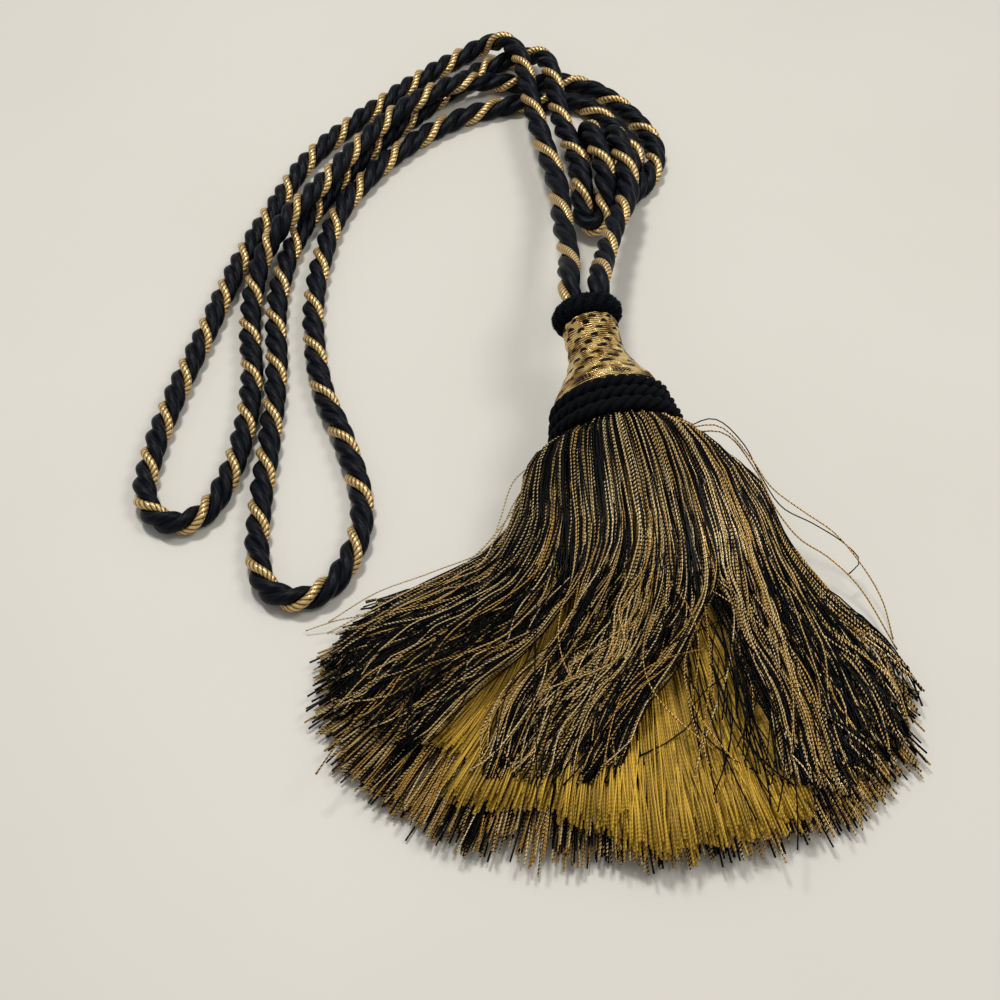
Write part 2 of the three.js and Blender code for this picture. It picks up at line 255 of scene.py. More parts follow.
# The rope's route in millimetres, as in the part: from the tassel, round and back to it.
ropeRoute = [
    # left leg, up from the tassel and over the other ropes
    (-13.4, 120.6, 42.8), (-14.4, 135.8, 44.5), (-12.9, 161.8, 33), (-14.6, 200.8, 24), (-16.1, 238, 17.5),
    (-22, 272.5, 15.8), (-27.5, 306.5, 15.8), (-31, 336.5, 15.8), (-34.5, 353.5, 15.8), (-42.5, 367, 14),
    (-54, 372, 7.2),
    # outer run, down to the left loop
    (-77, 354.5, 5.2), (-100, 329.5, 5.2), (-140, 276.5, 5.2), (-156, 233.5, 5.2), (-168.5, 191.5, 5.2),
    (-178.5, 143.5, 5.2), (-187, 102, 5.2), (-191.5, 66.5, 5.2), (-190.5, 46.5, 5.2), (-184.5, 36.5, 5.2),
    (-174.5, 32.5, 5.2), (-165, 38.5, 5.2), (-158, 55.5, 5.2),
    # back up the left loop, riding on the run beside it
    (-154, 82.5, 5.2), (-154, 114.5, 5.3), (-159, 154.5, 5.6), (-157, 191.5, 9), (-147, 212.5, 15.2),
    (-132.5, 238.5, 15.7), (-118, 266.5, 15.7), (-101.5, 293.5, 15.7), (-83, 313.5, 15.8), (-65, 328.5, 13.5),
    (-48, 339, 6.5),
    # under both legs and round the right of the knot
    (-28, 339.5, 5.2), (-7, 340.5, 5.2), (10.5, 330, 5.2), (28, 305, 5.2), (36, 280.5, 5.2),
    (31.5, 258.5, 5.2), (19.5, 243, 5.2), (6, 238, 5.2), (-2.5, 245.5, 5.2), (-4, 260.5, 5.2),
    # first wrap of the knot, up, over and down
    (-2, 273.5, 5.4), (-1, 279.5, 7.7), (0, 282, 13.2), (1, 279.5, 19), (2, 273, 21.6),
    (5.5, 257.5, 21.3), (7.8, 239.5, 18.5), (7.8, 225.5, 12.6), (6, 218.5, 9.4), (2, 216.3, 8.4),
    (-2, 218.5, 9), (-4, 226.5, 11.6),
    # back up to the second leg and over the ropes below
    (-3.5, 241.5, 15.8), (-7, 266.5, 15.6), (-12.5, 291.5, 15.6), (-15, 318.5, 15.6), (-18, 342.5, 15.6),
    (-24, 358.5, 10.5), (-35.5, 362, 5.7), (-50, 356.5, 5.2),
    # inner run, down to the right loop
    (-68.5, 336.5, 5.2), (-87.5, 312, 5.2), (-108.5, 284.5, 5.2), (-125.5, 254.5, 5.2), (-139, 222.5, 5.2),
    (-146, 193.5, 5.2), (-147.5, 159.5, 5.2), (-143.5, 119.5, 5.2), (-142.5, 78.5, 5.2), (-142.5, 36.5, 5.2),
    (-140, 11.5, 5.2), (-134.5, -0.5, 5.2), (-123.5, -5.5, 5.2), (-112, 0, 5.2), (-104, 14.5, 5.2),
    (-100.5, 40, 5.2),
    # back up the right loop, innermost of the four
    (-110, 76.5, 5.2), (-122.5, 109.5, 5.2), (-130, 153, 5.2), (-130, 187.5, 5.2), (-123.5, 229.5, 5.2),
    (-110, 259.5, 5.2), (-91.5, 285, 5.2), (-68, 306.5, 5.2), (-41, 319.5, 5.2),
    # under both legs and round inside the knot
    (-20, 322.5, 5.2), (-1, 320.5, 5.2), (14.5, 301.5, 5.2), (24.5, 280.5, 5.2), (24, 267.5, 5.2),
    (22, 262.5, 5.2), (18, 260.5, 5.2), (14, 262.5, 5.2), (12.4, 268.5, 5.4),
    # second wrap of the knot, and down the right leg to the tassel
    (13, 275, 8), (13.5, 277.5, 13.4), (14, 275, 19), (14.8, 268.5, 21.6), (17.8, 250.5, 21),
    (18.4, 229.5, 18.6), (10, 198.1, 24), (2.4, 160.9, 33), (-1.1, 136.8, 44.5), (-2.8, 122.7, 42.8),
]


def satinBlack():
    # black satin yarns side by side in a soft strand: blue-black, with a dull gleam along each yarn painted
    # lighter into the colour, and painted shade in the grooves between the yarns
    material, tree, shader = makeMaterial("rope satin, black", rope["satinFinish"])
    coords, around, along = uvParts(tree)
    yarns = wave(tree, twist(tree, around, along, rope["yarnTwist"], rope["yarnsInStrand"]))
    fibres = mottle(tree, coords, rope["satinFibres"], 3.0)
    uneven = addNode(tree, "MULTIPLY_ADD", [fibres, 0.8, 0.5])
    shade = addNode(tree, "MULTIPLY", [yarns, uneven])
    dark, light = map(linear, rope["satinShadeToGleam"])
    # painted light: the colour runs from painted shade between the yarns to a painted gleam on their crowns
    color = addNode(tree, "Mix", {0: shade, 6: dark, 7: light}, 2, data_type="RGBA")
    rounded = addNode(tree, "POWER", [yarns, 0.6])
    height = addNode(tree, "MULTIPLY_ADD", [fibres, 0.25, rounded])
    relief = {"Strength": 0.6, "Distance": rope["satinBump"], "Height": height}
    drive(tree, shader, {"Base Color": color, "Normal": addNode(tree, "Bump", relief)})
    return material


def goldGimp():
    # metallic gimp, gold foil yarns twisted hard round each other: fine slanting ridges that glint, with
    # painted shade between the ridges and painted glints on them
    material, tree, shader = makeMaterial("rope gimp, gold foil", rope["gimpFinish"])
    coords, around, along = uvParts(tree)
    ridges = wave(tree, twist(tree, around, along, rope["gimpTwist"], rope["gimpSlant"]))
    fibres = mottle(tree, coords, rope["gimpFibres"])
    lit = addNode(tree, "MULTIPLY", [ridges, 0.6])
    shade = addNode(tree, "MULTIPLY_ADD", [fibres, 0.6, lit])
    color = addNode(tree, "ValToRGB", [shade])
    # painted light: dark brown in the grooves between the ridges as painted shade, pale gold on their crowns
    # as painted glint
    setStops(color.node.color_ramp, list(zip((0.3, 0.62), map(linear, rope["gimpShadeToGlint"]))))
    relief = {"Strength": 0.7, "Distance": rope["gimpBump"], "Height": ridges}
    drive(tree, shader, {"Base Color": color, "Normal": addNode(tree, "Bump", relief)})
    return material


# The outline of a cord's section, strand by strand: plies lists (radius, distance out, material slot).
def cordSection(plies):
    arc = np.radians(np.linspace(-strand["arc"], strand["arc"], strand["points"]))
    outline = []
    for number, (radius, out, _) in enumerate(plies):
        middle = fullTurn * number / len(plies)
        x = out * np.cos(middle) + radius * np.cos(arc + middle)
        y = out * np.sin(middle) + radius * np.sin(arc + middle)
        outline.append(np.stack([x, y], axis=1))
    return np.vstack(outline)


# The turn of a cord's strands at each point: lay is the length of one turn, the same all along or not.
def turnedBy(lay, along):
    turnsEach = 1 / np.broadcast_to(lay, len(along))
    steps = (turnsEach[1:] + turnsEach[:-1]) / 2 * np.diff(along)
    return np.concatenate([[0], np.cumsum(steps)])


# A twisted cord along a line, in which each strand shows the outside of its own round.
def strandedTube(name, line, total, plies, lay, turn, materials, closed=False, swell=1.0):
    count = len(line)
    sides, ups = steadyFrames(line, closed)
    along = np.linspace(0, total, count, endpoint=not closed)
    angle = fullTurn * (turn - turnedBy(lay, along))
    cos, sin = np.cos(angle)[:, None], np.sin(angle)[:, None]
    section = cordSection(plies)
    x = (section[:, 0] * cos - section[:, 1] * sin) * swell
    y = (section[:, 0] * sin + section[:, 1] * cos) * swell
    verts = line[:, None] + sides[:, None] * x[..., None] + ups[:, None] * y[..., None]
    verts[..., 2] = np.maximum(verts[..., 2], 0)  # it rests on the table
    n = len(section)
    rows = np.arange(count if closed else count - 1)
    i, j = np.meshgrid(rows, np.arange(n), indexing="ij")
    nextRow, nextCol = (i + 1) % count, (j + 1) % n
    quads = np.stack([i * n + j, i * n + nextCol, nextRow * n + nextCol, nextRow * n + j], axis=-1)
    perStrand = strand["points"]
    u = np.tile(np.linspace(strand["margin"], 1 - strand["margin"], perStrand), len(plies))
    uNext = np.where(np.arange(n) % perStrand == perStrand - 1, u, np.roll(u, -1))
    step = total / len(rows)
    v = i * step
    corners = [(u[j], v), (uNext[j], v), (uNext[j], v + step), (u[j], v + step)]
    uvs = np.stack([np.stack(corner, axis=-1) for corner in corners], axis=2)
    slots = np.array([slot for _, _, slot in plies])[j // perStrand].reshape(-1)
    return meshObject(name, verts.reshape(-1, 3), quads.reshape(-1, 4), uvs, materials, slots)


def makeRope():
    route = np.array(ropeRoute) * mm
    line, total = evenly(smoothCurve(route), rope["step"])
    black = (rope["blackRadius"], rope["blackOut"], 0)
    gold = (rope["goldRadius"], rope["goldOut"], 1)
    places, lays = np.array(rope["lays"]).T * mm
    lay = np.interp(np.linspace(0, total, len(line)), places, lays)
    fromKnot = np.linalg.norm(line[:, :2] / mm - rope["knot"], axis=1)
    swell = 1 + rope["knotSwell"] * np.exp(-((fromKnot / rope["knotSize"]) ** 2))[:, None]
    looks = [satinBlack(), goldGimp()]
    obj = strandedTube(
        "ropeStrands", line, total, [gold, black, black], lay, rope["turn"], looks, swell=swell
    )
    closeEnds(obj)
    attach(obj, "rope")
    print("rope made, metres:", round(total, 3))


makeRope()

# The tassel's axis, from the top of its neck to the foot of its collar.
neckTop = np.array([-6.4, 112.6, 40.6]) * mm
collarFoot = np.array([3.6, 58.5, 26.9]) * mm
headLength = np.linalg.norm(collarFoot - neckTop)
axis = unit(collarFoot - neckTop)
side = unit(np.cross([0, 0, 1], axis))
up = np.cross(axis, side)


def onAxis(along, across, lift):  # points along the tassel's axis, off it sideways and upwards
    along, across, lift = (np.asarray(v, float)[..., None] for v in (along, across, lift))
    return neckTop + along * axis + across * side + lift * up


def aroundAxis(radius, along, turn):  # points round the tassel's axis, from its top
    return onAxis(np.full(len(turn), along), radius * np.sin(turn), radius * np.cos(turn))


# Middles in a ring's tube and directions out of it, at turns round the axis and about the tube.
def outOfTube(radius, along, turn, about):
    out = onAxis(np.sin(about), np.cos(about) * np.sin(turn), np.cos(about) * np.cos(turn)) - neckTop
    return aroundAxis(radius, along, turn), out


head = {
    # millimetres from the neck's top, and radius there
    "profile": [
        (-4, 6), (0, 9.4), (1.5, 11), (6, 11.6), (13, 11.4), (19, 12.5), (25, 15),
        (31, 18.8), (36.5, 22), (39, 22.5), (41, 20),
    ],
    "rings": 300,
    "around": 150,
    "thread": 0.95 * mm,  # pitch of the wound thread
    "threadHeight": 0.07 * mm,
    "threadWander": 1.6,  # threads
    "lumps": 0.2 * mm,
    "lumpsAround": (9, 14),
    "lumpLeans": (1.4 * mm, -2.3 * mm),
    "finish": {"Roughness": 0.24, "Metallic": 0.65},
    # painted shadow, gold and painted highlight, along the ramp
    "golds": ("#2c1a06", "#bd8a34", "#fbdc94"),
    "black": "#120b06",
    "wanderCells": (9, 60),
    "patchCells": (14, 160),
    "frayCells": (55, 900),
    "bump": 0.5 * mm,
    "rowPitch": (2.7, 4.6),  # between the rows of black dashes, at the neck and at the collar, mm
    "rowWander": 0.8,  # rows
    "rowShift": 0.37,  # of the dashes in one row against those in the row before
    "dashesAround": 9,
    "dashHalf": (0.06, 0.14, 0.3),  # at the neck, more at the collar, and more where it is uneven
    "dashHeight": 0.3,  # half of it, as a share of the row
    "dashEdge": (1.15, 0.75),  # distance from its middle where a dash starts and where it is whole
    "frayed": (0.4, 0.35),  # sideways and upwards
    "ticks": (95, 900),  # of the twisted thread in a dash: around, and to a metre along
    "tickGap": 0.2,  # the higher, the more gold between the ticks
}


def dashRows(tree, along, wander):  # the number of each row of dashes, and the height in it from 0 to 1
    first, last = (pitch * mm for pitch in head["rowPitch"])
    widening = (last - first) / headLength
    widened = addNode(tree, "MULTIPLY_ADD", [along, widening / first, 1.0])
    counted = addNode(tree, "LOGARITHM", [widened, math.e])
    rows = addNode(tree, "MULTIPLY", [counted, 1 / widening])
    row = addNode(tree, "MULTIPLY_ADD", [wander, head["rowWander"], rows])
    number = addNode(tree, "FLOOR", [row])
    return number, addNode(tree, "SUBTRACT", [row, number])


# How far out from its dash's middle each place is, with 1 at the edge: dashes are rounded and frayed.
def dashDistance(tree, coords, around, along, wander, patches, growth):
    number, inRow = dashRows(tree, along, wander)
    fray = mottle(tree, coords, head["frayCells"])
    sideways, upwards = head["frayed"]
    centred = addNode(tree, "SUBTRACT", [fray, 0.5])
    height = addNode(tree, "MULTIPLY_ADD", [centred, upwards, inRow])
    turned = addNode(tree, "MULTIPLY", [around, head["dashesAround"]])
    shifted = addNode(tree, "MULTIPLY_ADD", [number, head["rowShift"], turned])
    place = addNode(tree, "MULTIPLY_ADD", [fray, sideways, shifted])
    inDash = addNode(tree, "FRACT", [place])
    least, grown, uneven = head["dashHalf"]
    half = addNode(tree, "MULTIPLY_ADD", [growth, grown, least])
    half = addNode(tree, "MULTIPLY_ADD", [patches, uneven, half])
    powers = []
    for position, size in ((inDash, half), (height, head["dashHeight"])):
        off = addNode(tree, "SUBTRACT", [position, 0.5])
        distance = addNode(tree, "ABSOLUTE", [off])
        share = addNode(tree, "DIVIDE", [distance, size])
        powers.append(addNode(tree, "POWER", [share, 3.0]))
    total = addNode(tree, "ADD", powers)
    return addNode(tree, "POWER", [total, 1 / 3])


def dashMask(tree, coords, around, along, wander, patches):  # 1 where the black twisted thread shows
    part = addNode(tree, "MULTIPLY", [along, 1 / headLength])
    growth = addNode(tree, "POWER", [part, 2.0])
    outward = dashDistance(tree, coords, around, along, wander, patches, growth)
    inside = addNode(tree, "MapRange", [outward, *head["dashEdge"], 0.0, 1.0])
    ticksAround, ticksAlong = head["ticks"]
    slanted = addNode(tree, "MULTIPLY", [around, ticksAround])
    ticks = wave(tree, addNode(tree, "MULTIPLY_ADD", [along, ticksAlong, slanted]))
    closed = addNode(tree, "SUBTRACT", [0.5, growth])
    filled = addNode(tree, "ADD", [ticks, closed])
    ticked = addNode(tree, "GREATER_THAN", [filled, head["tickGap"]])
    return addNode(tree, "MULTIPLY", [inside, ticked])


def woundGold():
    # metallic thread wound round a mould: fine ridges with painted shade between the threads, patches of
    # painted highlight and painted shadow, and black dashes
    material, tree, shader = makeMaterial("wound thread, gold", head["finish"])
    coords, around, along = uvParts(tree)
    wander = mottle(tree, coords, head["wanderCells"])
    threads = wave(tree, twist(tree, wander, along, head["thread"], head["threadWander"]))
    patches = mottle(tree, coords, head["patchCells"], 3.0)
    dash = dashMask(tree, coords, around, along, wander, patches)
    # painted light: the patches swing the gold from painted shadow to painted highlight, and the threads add
    # painted shade between them
    paintedGlintAndShadow = addNode(tree, "MULTIPLY_ADD", [patches, 2.2, -0.52])
    shade = addNode(tree, "MULTIPLY_ADD", [threads, 0.42, paintedGlintAndShadow])
    golden = addNode(tree, "ValToRGB", [shade])
    setStops(golden.node.color_ramp, list(zip((0.52, 0.72, 0.96), map(linear, head["golds"]))))
    black = linear(head["black"])
    color = addNode(tree, "Mix", {0: dash, 6: golden, 7: black}, 2, data_type="RGBA")
    raised = addNode(tree, "MULTIPLY_ADD", [patches, 3.0, threads])
    height = addNode(tree, "MULTIPLY_ADD", [dash, 0.8, raised])
    relief = {"Strength": 1.0, "Distance": head["bump"], "Height": height}
    drive(tree, shader, {"Base Color": color, "Normal": addNode(tree, "Bump", relief)})
    return material


def spunHead():  # the mould's profile spun about the tassel's axis
    stations = smoothCurve(head["profile"]) * mm
    profile, _ = evenly(stations, headLength / head["rings"])
    build = bmesh.new()
    corners = [build.verts.new(onAxis(along, 0, radius)) for along, radius in profile]
    edges = [build.edges.new(pair) for pair in zip(corners, corners[1:])]
    bmesh.ops.spin(
        build, geom=corners + edges, cent=neckTop, axis=axis, angle=fullTurn,
        steps=head["around"], use_merge=True,
    )
    bmesh.ops.recalc_face_normals(build, faces=build.faces)
    mesh = bpy.data.meshes.new("woundHead")
    build.to_mesh(mesh)
    build.free()
    return mesh


def windThread(mesh):  # raises the wound thread and its lumps, and lays the UV map round and along
    places = np.empty(3 * len(mesh.vertices), np.float32)
    mesh.vertices.foreach_get("co", places)
    offset = places.reshape(-1, 3).astype(float) - neckTop
    along, across, lift = offset @ axis, offset @ side, offset @ up
    steps = head["around"]
    column = np.round(np.arctan2(across, lift) / fullTurn * steps) % steps
    turn = column / steps * fullTurn
    radius = np.hypot(across, lift) + head["threadHeight"] * np.sin(fullTurn * along / head["thread"])
    for count, lean in zip(head["lumpsAround"], head["lumpLeans"]):
        radius += head["lumps"] * np.sin(count * turn + along / lean)
    raised = onAxis(along, radius * np.sin(turn), radius * np.cos(turn))
    mesh.vertices.foreach_set("co", raised.reshape(-1).astype(np.float32))
    used = np.empty(len(mesh.loops), np.int32)
    mesh.loops.foreach_get("vertex_index", used)
    u = (column / steps)[used].reshape(-1, 4)
    u += u.max(axis=1, keepdims=True) - u > 0.5  # faces across the seam
    uvs = np.stack([u.reshape(-1), along[used]], axis=1)
    layer = mesh.uv_layers.new(name="UVMap")
    layer.data.foreach_set("uv", uvs.reshape(-1).astype(np.float32))
    mesh.polygons.foreach_set("use_smooth", np.ones(len(mesh.polygons), bool))
    mesh.update()


def makeHead():
    mesh = spunHead()
    windThread(mesh)
    mesh.materials.append(woundGold())
    obj = placeObject("woundHead", mesh)
    closeEnds(obj)
    attach(obj, "tassel_head")


makeHead()
print("head made")

threadSides = 3  # of every yarn and fibre
lowest = 0.2 * mm  # height above the table of the middle of a fibre of pile or fuzz, at least


# Thin tubes of the same number of points as one mesh. The UV map runs in metres along each.
def tubes(name, lines, radii, material, tones):
    count, points, _ = lines.shape
    sides = threadSides
    tangents = unit(np.gradient(lines, axis=1))
    across = unit(np.cross(tangents, [0, 0, 1]) + 1e-9)
    lift = np.cross(across, tangents)
    angle = fullTurn * np.arange(sides) / sides
    cos, sin = np.cos(angle)[:, None], np.sin(angle)[:, None]
    offsets = across[:, :, None] * cos + lift[:, :, None] * sin
    verts = lines[:, :, None] + offsets * radii[:, :, None, None]
    y, i, j = np.meshgrid(np.arange(count), np.arange(points - 1), np.arange(sides), indexing="ij")
    first = (y * points + i) * sides
    nextCol = (j + 1) % sides
    quads = np.stack([first + j, first + sides + j, first + sides + nextCol, first + nextCol], axis=-1)
    steps = np.linalg.norm(np.diff(lines, axis=1), axis=2)
    reached = np.concatenate([np.zeros((count, 1)), np.cumsum(steps, axis=1)], axis=1)
    v, vNext = reached[y, i], reached[y, i + 1]
    u, uNext = j / sides, (j + 1) / sides
    corners = [(u, v), (u, vNext), (uNext, vNext), (uNext, v)]
    uvs = np.stack([np.stack(corner, axis=-1) for corner in corners], axis=3)
    tones = np.repeat(tones, points * sides)
    return meshObject(name, verts.reshape(-1, 3), quads.reshape(-1, 4), uvs, [material], tones=tones)


ring = {
    "radius": 10.9 * mm,
    "tube": 4.0 * mm,
    "along": -4 * mm,
    "points": 120,
    "coreStrand": (0.62, 0.42),  # radius and distance out, as shares of the tube
    "coreLays": 6,
    "pile": 0.75 * mm,
    "pileRange": (0.6, 1.1),
    "lean": 0.45,
    "fibres": 6500,
    "fibreWidth": 0.19 * mm,
    "fibreTaper": (1, 0.9, 0.45),
    "finish": {"Roughness": 0.95, "Specular IOR Level": 0.15},
    "colors": ("#04060a", "#151a25"),
    "seed": 11,
}


def plushBlack():
    # dense black pile, almost no shine, a little lighter at some tips
    material, tree, shader = makeMaterial("plush, black", ring["finish"])
    tone = addNode(tree, "Attribute", output="Fac", attribute_name="tone")
    dark, light = map(linear, ring["colors"])
    color = addNode(tree, "Mix", {0: tone, 6: dark, 7: light}, 2, data_type="RGBA")
    drive(tree, shader, {"Base Color": color})
    return material


def makeRing():
    random = np.random.default_rng(ring["seed"])
    material = plushBlack()
    line = aroundAxis(ring["radius"], ring["along"], np.linspace(0, fullTurn, ring["points"], endpoint=False))
    length = fullTurn * ring["radius"]
    radius, out = (share * ring["tube"] for share in ring["coreStrand"])
    lay = length / ring["coreLays"]
    core = strandedTube("neckRingCore", line, length, [(radius, out, 0)] * 3, lay, 0, [material], True)
    n = ring["fibres"]
    turn = random.uniform(0, fullTurn, n)
    about = random.uniform(0, fullTurn, n)
    tuft = 0.8 + 0.3 * np.sin(15 * turn + 2 * np.sin(2 * about)) * np.sin(3 * about + 4 * turn)
    middle, outward = outOfTube(ring["radius"], ring["along"], turn, about)
    start = middle + outward * (ring["tube"] * 0.75)
    tip = ring["pile"] * random.uniform(*ring["pileRange"], n) * tuft + ring["tube"] * 0.25
    leaning = unit(outward + random.normal(0, ring["lean"], (n, 3)))
    bend = start + outward * (tip * 0.55)[:, None]
    lines = np.stack([start, bend, start + leaning * tip[:, None]], axis=1)
    lines[..., 2] = np.maximum(lines[..., 2], lowest)
    radii = np.tile(np.array(ring["fibreTaper"]) * ring["fibreWidth"], (n, 1))
    pile = tubes("neckRingPile", lines, radii, material, random.uniform(0, 1, n))
    for obj in (core, pile):
        attach(obj, "neck_ring")


makeRing()
print("neck ring made")

collar = {
    # how far before the head's foot each row lies, and its radius
    "rows": [(14.5 * mm, 22.4 * mm), (8.8 * mm, 23.8 * mm), (3.1 * mm, 25.2 * mm)],
    "tube": 2.95 * mm,
    "points": 360,
    "strand": (0.58, 0.46),  # radius and distance out, as shares of the tube
    "lay": 14 * mm,
    "rowTurn": 0.3,  # turns by which each row's strands start further round
    "fuzz": 2000,
    "fuzzLength": (0.5, 1.2),  # mm
    "fuzzLean": 0.8,
    "fuzzBend": 0.1 * mm,
    "fuzzRadii": (0.09, 0.08, 0.04),  # mm, from root to tip
    "finish": {"Roughness": 0.85, "Specular IOR Level": 0.1},
    # painted shade between the yarns, up to their crowns
    "colors": ("#020304", "#0a0e15"),
    "yarnPitch": 5 * mm,
    "yarnSlant": 7.0,
    "fibres": (70, 1500),
    "bump": 0.4 * mm,
    "seed": 5,
}


def dullCord():
    # cord of soft black yarns: dull, with each yarn just visible by painted shade in the grooves between the
    # yarns
    material, tree, shader = makeMaterial("collar cord, dull black", collar["finish"])
    coords, around, along = uvParts(tree)
    yarns = wave(tree, twist(tree, around, along, collar["yarnPitch"], collar["yarnSlant"]))
    fibres = mottle(tree, coords, collar["fibres"], 3.0)
    uneven = addNode(tree, "MULTIPLY_ADD", [fibres, 0.9, 0.3])
    shade = addNode(tree, "MULTIPLY", [yarns, uneven])
    dark, light = map(linear, collar["colors"])
    # painted shade: darker in the grooves between the yarns, lighter on their crowns
    color = addNode(tree, "Mix", {0: shade, 6: dark, 7: light}, 2, data_type="RGBA")
    height = addNode(tree, "MULTIPLY_ADD", [fibres, 0.6, yarns])
    relief = {"Strength": 0.9, "Distance": collar["bump"], "Height": height}
    drive(tree, shader, {"Base Color": color, "Normal": addNode(tree, "Bump", relief)})
    return material


def makeCollarRow(number, along, radius, material):
    line = aroundAxis(radius, along, np.linspace(0, fullTurn, collar["points"], endpoint=False))
    length = fullTurn * radius
    lay = length / round(length / collar["lay"])
    plies = [(collar["strand"][0] * collar["tube"], collar["strand"][1] * collar["tube"], 0)] * 3
    turn = collar["rowTurn"] * number
    return strandedTube(f"collarRow{number}", line, length, plies, lay, turn, [material], True)


def makeFuzz(number, along, radius, material, random):
    n = collar["fuzz"]
    turn = random.uniform(0, fullTurn, n)
    about = random.uniform(0, fullTurn, n)
    middle, outward = outOfTube(radius, along, turn, about)
    start = middle + outward * (collar["tube"] * 0.72)
    leaning = unit(outward + random.normal(0, collar["fuzzLean"], (n, 3)))
    tip = start + leaning * (random.uniform(*collar["fuzzLength"], n) * mm)[:, None]
    bend = (start + tip) / 2 + random.normal(0, collar["fuzzBend"], (n, 3))
    lines = np.stack([start, bend, tip], axis=1)
    lines[..., 2] = np.maximum(lines[..., 2], lowest)
    radii = np.tile(np.array(collar["fuzzRadii"]) * mm, (n, 1))
    return tubes(f"collarFuzz{number}", lines, radii, material, random.uniform(0, 1, n))


def makeCollar():
    random = np.random.default_rng(collar["seed"])
    material = dullCord()
    for number, (before, radius) in enumerate(collar["rows"], 1):
        along = headLength - before
        row = makeCollarRow(number, along, radius, material)
        fuzz = makeFuzz(number, along, radius, material, random)
        for obj in (row, fuzz):
            attach(obj, f"collar_row_{number}")


makeCollar()
print("collar made")

skirt = {
    "bindingAlong": headLength + 1.2 * mm,
    "bindingRadius": 26 * mm,
    "yarnRadius": 0.34 * mm,
    "uneven": (0.85, 1.15),  # times the radius, from yarn to yarn
    "rootSize": 0.8,  # times the radius
    "endSize": 1.25,
    "aboveTable": 1.02,  # radii, for the middle of a yarn that lies on it
    "clumping": 0.16,  # how far like-coloured yarns lie together
    "clumpSize": 9 * mm,
    "upperYarns": 1240,
    "upperPoints": 27,
    "upperDepths": (0.74, 0.2),  # of the binding's radius: the lowest yarn's root, and the rest of them
    "upperTurn": math.radians(95),  # each way from the top of the binding
    "upperThickness": 4 * mm,
    "mound": (4.5 * mm, 7 * mm),  # height below the upper yarns at the sides, and more in the middle
    "endDrop": 3.5 * mm,
    "arch": 5.2 * mm,  # how far the yarns spring out past the collar
    "locks": 170,  # bunches that the upper yarns wave and cross in
    "acrossPartings": 0.12,  # share of the upper yarns
    "curl": 2.2 * mm,  # of the cut ends of the lower and the cotton yarns
    "loosePoints": 36,
    "looseSize": 0.9,  # times the radius
    "strays": 42,  # black ones that lie over the cotton
    "crossing": 16,  # loose yarns that lie across the others
    "finish": {"Roughness": 0.27, "Specular IOR Level": 0.14},
    "blacks": ("#020202", "#080706"),
    "golds": ("#cf9f4a", "#fbdfa2"),
    # share of black in a yarn's twist, by its tone: black, mixed and gold yarns
    "blackShares": [(0.0, 1.1), (0.5, 0.55), (0.66, 0.18)],
    "shadeNearCollar": (75 * mm, 0.2),  # how far it reaches, and how much more black at the collar, as painted shade
    "twist": 1.5 * mm,  # pitch of the two plies
    "bump": 0.22 * mm,
    "seed": 3,
}

# How the upper yarns lie, from the left side to the right: places in millimetres on the way down,
# each a pair of how far right and how far towards the rope. The first is at the collar.
topFlow = [
    [(-22, 62), (-36, 36), (-45, 14), (-58, 4), (-78, -6), (-98, -11)],
    [(-21, 57), (-37, 17), (-51, -3), (-72, -16), (-94, -26), (-110, -37)],
    [(-18, 53), (-27, 11), (-40, -10), (-60, -27), (-82, -43), (-104, -60)],
    [(-14, 51), (-14, 7), (-20, -16), (-34, -37), (-56, -54), (-78, -76)],
    [(-6, 51), (-2, 6), (-12, -17), (-25, -39), (-39, -62), (-49, -88)],
    [(3, 52), (14, 5), (10, -18), (-1, -44), (-17, -68), (-29, -92)],
    [(13, 53), (28, 7), (30, -18), (19, -41), (1, -65), (-11, -90)],
    [(22, 55), (43, 10), (46, -10), (49, -34), (58, -60), (62, -90)],
    [(28, 58), (52, 20), (60, -10), (66, -38), (72, -66), (78, -94)],
    [(31, 61), (57, 34), (67, 6), (76, -22), (87, -49), (98, -75)],
    [(33, 63), (61, 47), (70, 18), (83, -9), (100, -32), (112, -53)],
]
# How far the yarns between one row of the table and the next part and gather at these rows.
parting = np.array([0, 0, 0.1, 0.96, 0, 0, 0.94, 0.1, 0, 0])
# Share of gold among the yarns that start at each row of the table.
goldShare = [0.48, 0.4, 0.4, 0.44, 0.48, 0.48, 0.46, 0.44, 0.42, 0.44, 0.48]
topHeights = [1, 0.62, 0.4, 0.25, 0.14, 0.08]  # of the collar's top above the layer below, going down

# Loose yarns that stand off the skirt: rightwards, towards the rope, and height, in millimetres.
looseRoutes = [
    [
        (26, 57, 32), (42, 62, 36), (54, 54, 30), (60, 42, 25), (68, 29, 20), (80, 22, 18), (92, 14, 15),
        (97, 8, 12), (92, 3, 10),
    ],
    [
        (26, 58, 30), (46, 58, 32), (58, 44, 26), (66, 28, 19), (74, 16, 16), (84, 9, 14), (95, -2, 10),
        (107, -28, 4),
    ],
    [
        (24, 56, 34), (44, 60, 34), (56, 48, 29), (64, 36, 24), (76, 27, 20), (88, 18, 17), (98, 5, 12),
        (104, -8, 8), (106, -24, 5),
    ],
    [(-28, 48, 24), (-38, 32, 20), (-48, 14, 14), (-70, 3, 12), (-92, -5, 9), (-110, -16, 5)],
    [(-30, 44, 24), (-40, 26, 19), (-56, 7, 14), (-80, -6, 11), (-110, -22, 6)],
    [(-80, -16, 10), (-94, -15, 8), (-106, -15, 5), (-119, -18, 2)],
    [(-26, 50, 26), (-38, 40, 24), (-44, 24, 18), (-50, 6, 16), (-66, -8, 13)],
]

